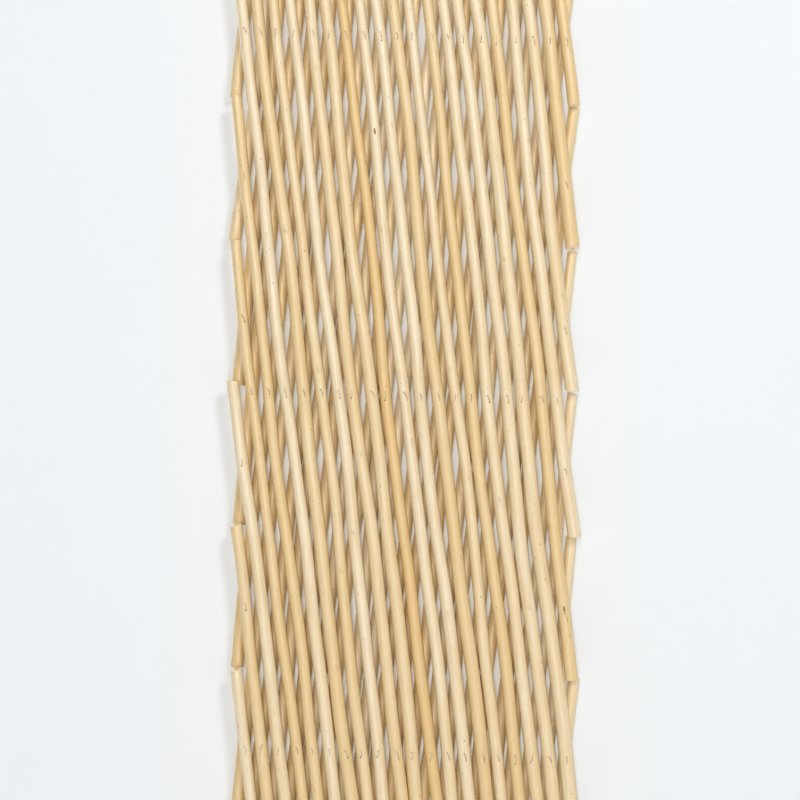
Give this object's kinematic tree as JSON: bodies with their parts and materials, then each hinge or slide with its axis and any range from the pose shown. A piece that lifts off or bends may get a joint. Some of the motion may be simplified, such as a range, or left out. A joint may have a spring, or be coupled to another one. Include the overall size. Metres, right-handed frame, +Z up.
{
  "type": "expanding willow trellis",
  "caption": "Folding garden trellis of peeled willow rods in two slanting layers, nailed at their crossings so that it opens like a lazy-tongs into a diamond lattice.",
  "frame": {"origin": "at the foot of the folded panel, midway across it, on the plane where the two layers of rods meet", "axes": "+Z up along the folded panel, +Y from its front layer to its back layer, +X across it to the right"},
  "size_m": [0.317, 0.029, 1.4318],
  "materials": {
    "peeled_willow": "peeled, satin",
    "nail_steel": "dull wire"
  },
  "bodies": {
    "front_rod_01": {"front_rod_01": "peeled_willow"},
    "back_rod_01": {"back_rod_01": "peeled_willow"},
    "front_rod_02": {"front_rod_02": "peeled_willow"},
    "back_rod_02": {"back_rod_02": "peeled_willow"},
    "front_rod_03": {"front_rod_03": "peeled_willow"},
    "back_rod_03": {"back_rod_03": "peeled_willow"},
    "front_rod_04": {"front_rod_04": "peeled_willow"},
    "back_rod_04": {"back_rod_04": "peeled_willow"},
    "front_rod_05": {"front_rod_05": "peeled_willow"},
    "back_rod_05": {"back_rod_05": "peeled_willow"},
    "front_rod_06": {"front_rod_06": "peeled_willow"},
    "back_rod_06": {"back_rod_06": "peeled_willow"},
    "front_rod_07": {"front_rod_07": "peeled_willow"},
    "back_rod_07": {"back_rod_07": "peeled_willow"},
    "front_rod_08": {"front_rod_08": "peeled_willow"},
    "back_rod_08": {"back_rod_08": "peeled_willow"},
    "front_rod_09": {"front_rod_09": "peeled_willow"},
    "back_rod_09": {"back_rod_09": "peeled_willow"},
    "front_rod_10": {"front_rod_10": "peeled_willow"},
    "back_rod_10": {"back_rod_10": "peeled_willow"},
    "front_rod_11": {"front_rod_11": "peeled_willow"},
    "back_rod_11": {"back_rod_11": "peeled_willow"},
    "front_rod_12": {"front_rod_12": "peeled_willow"},
    "back_rod_12": {"back_rod_12": "peeled_willow"},
    "front_rod_13": {"front_rod_13": "peeled_willow"},
    "back_rod_13": {"back_rod_13": "peeled_willow"},
    "front_rod_14": {"front_rod_14": "peeled_willow"},
    "back_rod_14": {"back_rod_14": "peeled_willow"},
    "front_rod_15": {"front_rod_15": "peeled_willow"},
    "back_rod_15": {"back_rod_15": "peeled_willow"},
    "front_rod_16": {"front_rod_16": "peeled_willow"},
    "back_rod_16": {"back_rod_16": "peeled_willow"},
    "front_rod_17": {"front_rod_17": "peeled_willow"},
    "back_rod_17": {"back_rod_17": "peeled_willow"},
    "front_rod_18": {"front_rod_18": "peeled_willow"},
    "back_rod_18": {"back_rod_18": "peeled_willow"},
    "front_rod_19": {"front_rod_19": "peeled_willow"},
    "back_rod_19": {"back_rod_19": "peeled_willow"},
    "front_rod_20": {"front_rod_20": "peeled_willow"},
    "back_rod_20": {"back_rod_20": "peeled_willow"},
    "front_rod_21": {"front_rod_21": "peeled_willow"},
    "back_rod_21": {"back_rod_21": "peeled_willow"},
    "front_rod_22": {"front_rod_22": "peeled_willow"},
    "back_rod_22": {"back_rod_22": "peeled_willow"},
    "front_rod_23": {"front_rod_23": "peeled_willow"},
    "back_rod_23": {"back_rod_23": "peeled_willow"},
    "front_rod_24": {"front_rod_24": "peeled_willow"},
    "back_rod_24": {"back_rod_24": "peeled_willow"},
    "front_rod_25": {"front_rod_25": "peeled_willow"},
    "back_rod_25": {"back_rod_25": "peeled_willow"},
    "front_rod_26": {"front_rod_26": "peeled_willow"},
    "back_rod_26": {"back_rod_26": "peeled_willow"},
    "front_rod_27": {"front_rod_27": "peeled_willow"},
    "back_rod_27": {"back_rod_27": "peeled_willow"},
    "front_rod_28": {"front_rod_28": "peeled_willow"},
    "back_rod_28": {"back_rod_28": "peeled_willow"},
    "front_rod_29": {"front_rod_29": "peeled_willow"},
    "back_rod_29": {"back_rod_29": "peeled_willow"},
    "middle_nail": {"middle_nail": "nail_steel"}
  },
  "joints": [
    {"name": "unfold", "type": "hinge", "parent": "middle_nail", "child": "front_rod_15", "pos_m": [0, 0, 0.71148], "axis": [0, -1, 0], "range_deg": [0, 38.28]},
    {"name": "back_rod_15_pivot", "type": "hinge", "parent": "middle_nail", "child": "back_rod_15", "pos_m": [0, 0, 0.71148], "axis": [0, -1, 0], "range_deg": [-38.28, 0]},
    {"name": "back_rod_05_pivot", "type": "hinge", "parent": "front_rod_15", "child": "back_rod_05", "pos_m": [-0.07631, 0, 1.3595], "axis": [0, -1, 0], "range_deg": [-76.57, 0]},
    {"name": "back_rod_10_pivot", "type": "hinge", "parent": "front_rod_15", "child": "back_rod_10", "pos_m": [-0.03816, 0, 1.03549], "axis": [0, -1, 0], "range_deg": [-76.57, 0]},
    {"name": "back_rod_20_pivot", "type": "hinge", "parent": "front_rod_15", "child": "back_rod_20", "pos_m": [0.03816, 0, 0.38747], "axis": [0, -1, 0], "range_deg": [-76.57, 0]},
    {"name": "back_rod_25_pivot", "type": "hinge", "parent": "front_rod_15", "child": "back_rod_25", "pos_m": [0.07631, 0, 0.06346], "axis": [0, -1, 0], "range_deg": [-76.57, 0]},
    {"name": "front_rod_05_pivot", "type": "hinge", "parent": "back_rod_15", "child": "front_rod_05", "pos_m": [-0.07573, 0, 0.06843], "axis": [0, -1, 0], "range_deg": [0, 76.57]},
    {"name": "front_rod_10_pivot", "type": "hinge", "parent": "back_rod_15", "child": "front_rod_10", "pos_m": [-0.03787, 0, 0.38995], "axis": [0, -1, 0], "range_deg": [0, 76.57]},
    {"name": "front_rod_20_pivot", "type": "hinge", "parent": "back_rod_15", "child": "front_rod_20", "pos_m": [0.03787, 0, 1.03301], "axis": [0, -1, 0], "range_deg": [0, 76.57]},
    {"name": "front_rod_25_pivot", "type": "hinge", "parent": "back_rod_15", "child": "front_rod_25", "pos_m": [0.07573, 0, 1.35454], "axis": [0, -1, 0], "range_deg": [0, 76.57]},
    {"name": "front_rod_06_pivot", "type": "hinge", "parent": "back_rod_05", "child": "front_rod_06", "pos_m": [-0.14447, 0, 0.78075], "axis": [0, -1, 0], "range_deg": [0, 76.57]},
    {"name": "front_rod_01_pivot", "type": "hinge", "parent": "back_rod_10", "child": "front_rod_01", "pos_m": [-0.14418, 0, 0.13522], "axis": [0, -1, 0], "range_deg": [0, 76.57]},
    {"name": "front_rod_29_pivot", "type": "hinge", "parent": "back_rod_20", "child": "front_rod_29", "pos_m": [0.14418, 0, 1.28775], "axis": [0, -1, 0], "range_deg": [0, 76.57]},
    {"name": "front_rod_24_pivot", "type": "hinge", "parent": "back_rod_25", "child": "front_rod_24", "pos_m": [0.14447, 0, 0.64221], "axis": [0, -1, 0], "range_deg": [0, 76.57]},
    {"name": "back_rod_06_pivot", "type": "hinge", "parent": "front_rod_05", "child": "back_rod_06", "pos_m": [-0.14441, 0, 0.65165], "axis": [0, -1, 0], "range_deg": [-76.57, 0]},
    {"name": "back_rod_01_pivot", "type": "hinge", "parent": "front_rod_10", "child": "back_rod_01", "pos_m": [-0.1447, 0, 1.29719], "axis": [0, -1, 0], "range_deg": [-76.57, 0]},
    {"name": "back_rod_29_pivot", "type": "hinge", "parent": "front_rod_20", "child": "back_rod_29", "pos_m": [0.1447, 0, 0.12578], "axis": [0, -1, 0], "range_deg": [-76.57, 0]},
    {"name": "back_rod_24_pivot", "type": "hinge", "parent": "front_rod_25", "child": "back_rod_24", "pos_m": [0.14441, 0, 0.77132], "axis": [0, -1, 0], "range_deg": [-76.57, 0]},
    {"name": "back_rod_11_pivot", "type": "hinge", "parent": "front_rod_06", "child": "back_rod_11", "pos_m": [-0.09868, 0, 0.39194], "axis": [0, -1, 0], "range_deg": [-76.57, 0]},
    {"name": "back_rod_16_pivot", "type": "hinge", "parent": "front_rod_06", "child": "back_rod_16", "pos_m": [-0.06053, 0, 0.06793], "axis": [0, -1, 0], "range_deg": [-76.57, 0]},
    {"name": "back_rod_19_pivot", "type": "hinge", "parent": "front_rod_29", "child": "back_rod_19", "pos_m": [0.13655, 0, 1.35255], "axis": [0, -1, 0], "range_deg": [-76.57, 0]},
    {"name": "back_rod_14_pivot", "type": "hinge", "parent": "front_rod_24", "child": "back_rod_14", "pos_m": [0.06053, 0, 1.35504], "axis": [0, -1, 0], "range_deg": [-76.57, 0]},
    {"name": "front_rod_11_pivot", "type": "hinge", "parent": "back_rod_06", "child": "front_rod_11", "pos_m": [-0.09897, 0, 1.03748], "axis": [0, -1, 0], "range_deg": [0, 76.57]},
    {"name": "front_rod_16_pivot", "type": "hinge", "parent": "back_rod_06", "child": "front_rod_16", "pos_m": [-0.06111, 0, 1.35901], "axis": [0, -1, 0], "range_deg": [0, 76.57]},
    {"name": "front_rod_19_pivot", "type": "hinge", "parent": "back_rod_29", "child": "front_rod_19", "pos_m": [0.13713, 0, 0.06148], "axis": [0, -1, 0], "range_deg": [0, 76.57]},
    {"name": "front_rod_14_pivot", "type": "hinge", "parent": "back_rod_24", "child": "front_rod_14", "pos_m": [0.06111, 0, 0.06396], "axis": [0, -1, 0], "range_deg": [0, 76.57]},
    {"name": "front_rod_21_pivot", "type": "hinge", "parent": "back_rod_11", "child": "front_rod_21", "pos_m": [0.01491, 0, 1.35653], "axis": [0, -1, 0], "range_deg": [0, 76.57]},
    {"name": "front_rod_26_pivot", "type": "hinge", "parent": "back_rod_16", "child": "front_rod_26", "pos_m": [0.09093, 0, 1.35404], "axis": [0, -1, 0], "range_deg": [0, 76.57]},
    {"name": "front_rod_09_pivot", "type": "hinge", "parent": "back_rod_19", "child": "front_rod_09", "pos_m": [-0.01491, 0, 0.06644], "axis": [0, -1, 0], "range_deg": [0, 76.57]},
    {"name": "front_rod_04_pivot", "type": "hinge", "parent": "back_rod_14", "child": "front_rod_04", "pos_m": [-0.09093, 0, 0.06892], "axis": [0, -1, 0], "range_deg": [0, 76.57]},
    {"name": "back_rod_21_pivot", "type": "hinge", "parent": "front_rod_11", "child": "back_rod_21", "pos_m": [0.0155, 0, 0.06545], "axis": [0, -1, 0], "range_deg": [-76.57, 0]},
    {"name": "back_rod_26_pivot", "type": "hinge", "parent": "front_rod_16", "child": "back_rod_26", "pos_m": [0.09152, 0, 0.06296], "axis": [0, -1, 0], "range_deg": [-76.57, 0]},
    {"name": "back_rod_09_pivot", "type": "hinge", "parent": "front_rod_19", "child": "back_rod_09", "pos_m": [-0.0155, 0, 1.35752], "axis": [0, -1, 0], "range_deg": [-76.57, 0]},
    {"name": "back_rod_04_pivot", "type": "hinge", "parent": "front_rod_14", "child": "back_rod_04", "pos_m": [-0.09152, 0, 1.36], "axis": [0, -1, 0], "range_deg": [-76.57, 0]},
    {"name": "back_rod_28_pivot", "type": "hinge", "parent": "front_rod_21", "child": "back_rod_28", "pos_m": [0.14465, 0, 0.25489], "axis": [0, -1, 0], "range_deg": [-76.57, 0]},
    {"name": "back_rod_23_pivot", "type": "hinge", "parent": "front_rod_26", "child": "back_rod_23", "pos_m": [0.14435, 0, 0.90043], "axis": [0, -1, 0], "range_deg": [-76.57, 0]},
    {"name": "back_rod_02_pivot", "type": "hinge", "parent": "front_rod_09", "child": "back_rod_02", "pos_m": [-0.14465, 0, 1.16808], "axis": [0, -1, 0], "range_deg": [-76.57, 0]},
    {"name": "back_rod_07_pivot", "type": "hinge", "parent": "front_rod_04", "child": "back_rod_07", "pos_m": [-0.14435, 0, 0.52254], "axis": [0, -1, 0], "range_deg": [-76.57, 0]},
    {"name": "front_rod_28_pivot", "type": "hinge", "parent": "back_rod_21", "child": "front_rod_28", "pos_m": [0.14424, 0, 1.15864], "axis": [0, -1, 0], "range_deg": [0, 76.57]},
    {"name": "front_rod_23_pivot", "type": "hinge", "parent": "back_rod_26", "child": "front_rod_23", "pos_m": [0.14453, 0, 0.5131], "axis": [0, -1, 0], "range_deg": [0, 76.57]},
    {"name": "front_rod_02_pivot", "type": "hinge", "parent": "back_rod_09", "child": "front_rod_02", "pos_m": [-0.14424, 0, 0.26432], "axis": [0, -1, 0], "range_deg": [0, 76.57]},
    {"name": "front_rod_07_pivot", "type": "hinge", "parent": "back_rod_04", "child": "front_rod_07", "pos_m": [-0.14453, 0, 0.90986], "axis": [0, -1, 0], "range_deg": [0, 76.57]},
    {"name": "front_rod_18_pivot", "type": "hinge", "parent": "back_rod_28", "child": "front_rod_18", "pos_m": [0.12193, 0, 0.06197], "axis": [0, -1, 0], "range_deg": [0, 76.57]},
    {"name": "front_rod_13_pivot", "type": "hinge", "parent": "back_rod_23", "child": "front_rod_13", "pos_m": [0.04591, 0, 0.06445], "axis": [0, -1, 0], "range_deg": [0, 76.57]},
    {"name": "front_rod_12_pivot", "type": "hinge", "parent": "back_rod_02", "child": "front_rod_12", "pos_m": [-0.12193, 0, 1.36099], "axis": [0, -1, 0], "range_deg": [0, 76.57]},
    {"name": "front_rod_17_pivot", "type": "hinge", "parent": "back_rod_07", "child": "front_rod_17", "pos_m": [-0.04591, 0, 1.35851], "axis": [0, -1, 0], "range_deg": [0, 76.57]},
    {"name": "back_rod_18_pivot", "type": "hinge", "parent": "front_rod_28", "child": "back_rod_18", "pos_m": [0.12134, 0, 1.35305], "axis": [0, -1, 0], "range_deg": [-76.57, 0]},
    {"name": "back_rod_13_pivot", "type": "hinge", "parent": "front_rod_23", "child": "back_rod_13", "pos_m": [0.04532, 0, 1.35553], "axis": [0, -1, 0], "range_deg": [-76.57, 0]},
    {"name": "back_rod_12_pivot", "type": "hinge", "parent": "front_rod_02", "child": "back_rod_12", "pos_m": [-0.12134, 0, 0.06992], "axis": [0, -1, 0], "range_deg": [-76.57, 0]},
    {"name": "back_rod_17_pivot", "type": "hinge", "parent": "front_rod_07", "child": "back_rod_17", "pos_m": [-0.04532, 0, 0.06743], "axis": [0, -1, 0], "range_deg": [-76.57, 0]},
    {"name": "back_rod_08_pivot", "type": "hinge", "parent": "front_rod_18", "child": "back_rod_08", "pos_m": [-0.0307, 0, 1.35802], "axis": [0, -1, 0], "range_deg": [-76.57, 0]},
    {"name": "back_rod_03_pivot", "type": "hinge", "parent": "front_rod_13", "child": "back_rod_03", "pos_m": [-0.10672, 0, 1.3605], "axis": [0, -1, 0], "range_deg": [-76.57, 0]},
    {"name": "back_rod_22_pivot", "type": "hinge", "parent": "front_rod_12", "child": "back_rod_22", "pos_m": [0.0307, 0, 0.06495], "axis": [0, -1, 0], "range_deg": [-76.57, 0]},
    {"name": "back_rod_27_pivot", "type": "hinge", "parent": "front_rod_17", "child": "back_rod_27", "pos_m": [0.10672, 0, 0.06247], "axis": [0, -1, 0], "range_deg": [-76.57, 0]},
    {"name": "front_rod_08_pivot", "type": "hinge", "parent": "back_rod_18", "child": "front_rod_08", "pos_m": [-0.03012, 0, 0.06694], "axis": [0, -1, 0], "range_deg": [0, 76.57]},
    {"name": "front_rod_03_pivot", "type": "hinge", "parent": "back_rod_13", "child": "front_rod_03", "pos_m": [-0.10614, 0, 0.06942], "axis": [0, -1, 0], "range_deg": [0, 76.57]},
    {"name": "front_rod_22_pivot", "type": "hinge", "parent": "back_rod_12", "child": "front_rod_22", "pos_m": [0.03012, 0, 1.35603], "axis": [0, -1, 0], "range_deg": [0, 76.57]},
    {"name": "front_rod_27_pivot", "type": "hinge", "parent": "back_rod_17", "child": "front_rod_27", "pos_m": [0.10614, 0, 1.35355], "axis": [0, -1, 0], "range_deg": [0, 76.57]}
  ],
  "couplings": [
    {"joint": "back_rod_15_pivot", "follows": "unfold", "ratio": -1},
    {"joint": "back_rod_05_pivot", "follows": "unfold", "ratio": -2},
    {"joint": "back_rod_10_pivot", "follows": "unfold", "ratio": -2},
    {"joint": "back_rod_20_pivot", "follows": "unfold", "ratio": -2},
    {"joint": "back_rod_25_pivot", "follows": "unfold", "ratio": -2},
    {"joint": "front_rod_05_pivot", "follows": "unfold", "ratio": 2},
    {"joint": "front_rod_10_pivot", "follows": "unfold", "ratio": 2},
    {"joint": "front_rod_20_pivot", "follows": "unfold", "ratio": 2},
    {"joint": "front_rod_25_pivot", "follows": "unfold", "ratio": 2},
    {"joint": "front_rod_06_pivot", "follows": "unfold", "ratio": 2},
    {"joint": "front_rod_01_pivot", "follows": "unfold", "ratio": 2},
    {"joint": "front_rod_29_pivot", "follows": "unfold", "ratio": 2},
    {"joint": "front_rod_24_pivot", "follows": "unfold", "ratio": 2},
    {"joint": "back_rod_06_pivot", "follows": "unfold", "ratio": -2},
    {"joint": "back_rod_01_pivot", "follows": "unfold", "ratio": -2},
    {"joint": "back_rod_29_pivot", "follows": "unfold", "ratio": -2},
    {"joint": "back_rod_24_pivot", "follows": "unfold", "ratio": -2},
    {"joint": "back_rod_11_pivot", "follows": "unfold", "ratio": -2},
    {"joint": "back_rod_16_pivot", "follows": "unfold", "ratio": -2},
    {"joint": "back_rod_19_pivot", "follows": "unfold", "ratio": -2},
    {"joint": "back_rod_14_pivot", "follows": "unfold", "ratio": -2},
    {"joint": "front_rod_11_pivot", "follows": "unfold", "ratio": 2},
    {"joint": "front_rod_16_pivot", "follows": "unfold", "ratio": 2},
    {"joint": "front_rod_19_pivot", "follows": "unfold", "ratio": 2},
    {"joint": "front_rod_14_pivot", "follows": "unfold", "ratio": 2},
    {"joint": "front_rod_21_pivot", "follows": "unfold", "ratio": 2},
    {"joint": "front_rod_26_pivot", "follows": "unfold", "ratio": 2},
    {"joint": "front_rod_09_pivot", "follows": "unfold", "ratio": 2},
    {"joint": "front_rod_04_pivot", "follows": "unfold", "ratio": 2},
    {"joint": "back_rod_21_pivot", "follows": "unfold", "ratio": -2},
    {"joint": "back_rod_26_pivot", "follows": "unfold", "ratio": -2},
    {"joint": "back_rod_09_pivot", "follows": "unfold", "ratio": -2},
    {"joint": "back_rod_04_pivot", "follows": "unfold", "ratio": -2},
    {"joint": "back_rod_28_pivot", "follows": "unfold", "ratio": -2},
    {"joint": "back_rod_23_pivot", "follows": "unfold", "ratio": -2},
    {"joint": "back_rod_02_pivot", "follows": "unfold", "ratio": -2},
    {"joint": "back_rod_07_pivot", "follows": "unfold", "ratio": -2},
    {"joint": "front_rod_28_pivot", "follows": "unfold", "ratio": 2},
    {"joint": "front_rod_23_pivot", "follows": "unfold", "ratio": 2},
    {"joint": "front_rod_02_pivot", "follows": "unfold", "ratio": 2},
    {"joint": "front_rod_07_pivot", "follows": "unfold", "ratio": 2},
    {"joint": "front_rod_18_pivot", "follows": "unfold", "ratio": 2},
    {"joint": "front_rod_13_pivot", "follows": "unfold", "ratio": 2},
    {"joint": "front_rod_12_pivot", "follows": "unfold", "ratio": 2},
    {"joint": "front_rod_17_pivot", "follows": "unfold", "ratio": 2},
    {"joint": "back_rod_18_pivot", "follows": "unfold", "ratio": -2},
    {"joint": "back_rod_13_pivot", "follows": "unfold", "ratio": -2},
    {"joint": "back_rod_12_pivot", "follows": "unfold", "ratio": -2},
    {"joint": "back_rod_17_pivot", "follows": "unfold", "ratio": -2},
    {"joint": "back_rod_08_pivot", "follows": "unfold", "ratio": -2},
    {"joint": "back_rod_03_pivot", "follows": "unfold", "ratio": -2},
    {"joint": "back_rod_22_pivot", "follows": "unfold", "ratio": -2},
    {"joint": "back_rod_27_pivot", "follows": "unfold", "ratio": -2},
    {"joint": "front_rod_08_pivot", "follows": "unfold", "ratio": 2},
    {"joint": "front_rod_03_pivot", "follows": "unfold", "ratio": 2},
    {"joint": "front_rod_22_pivot", "follows": "unfold", "ratio": 2},
    {"joint": "front_rod_27_pivot", "follows": "unfold", "ratio": 2}
  ]
}
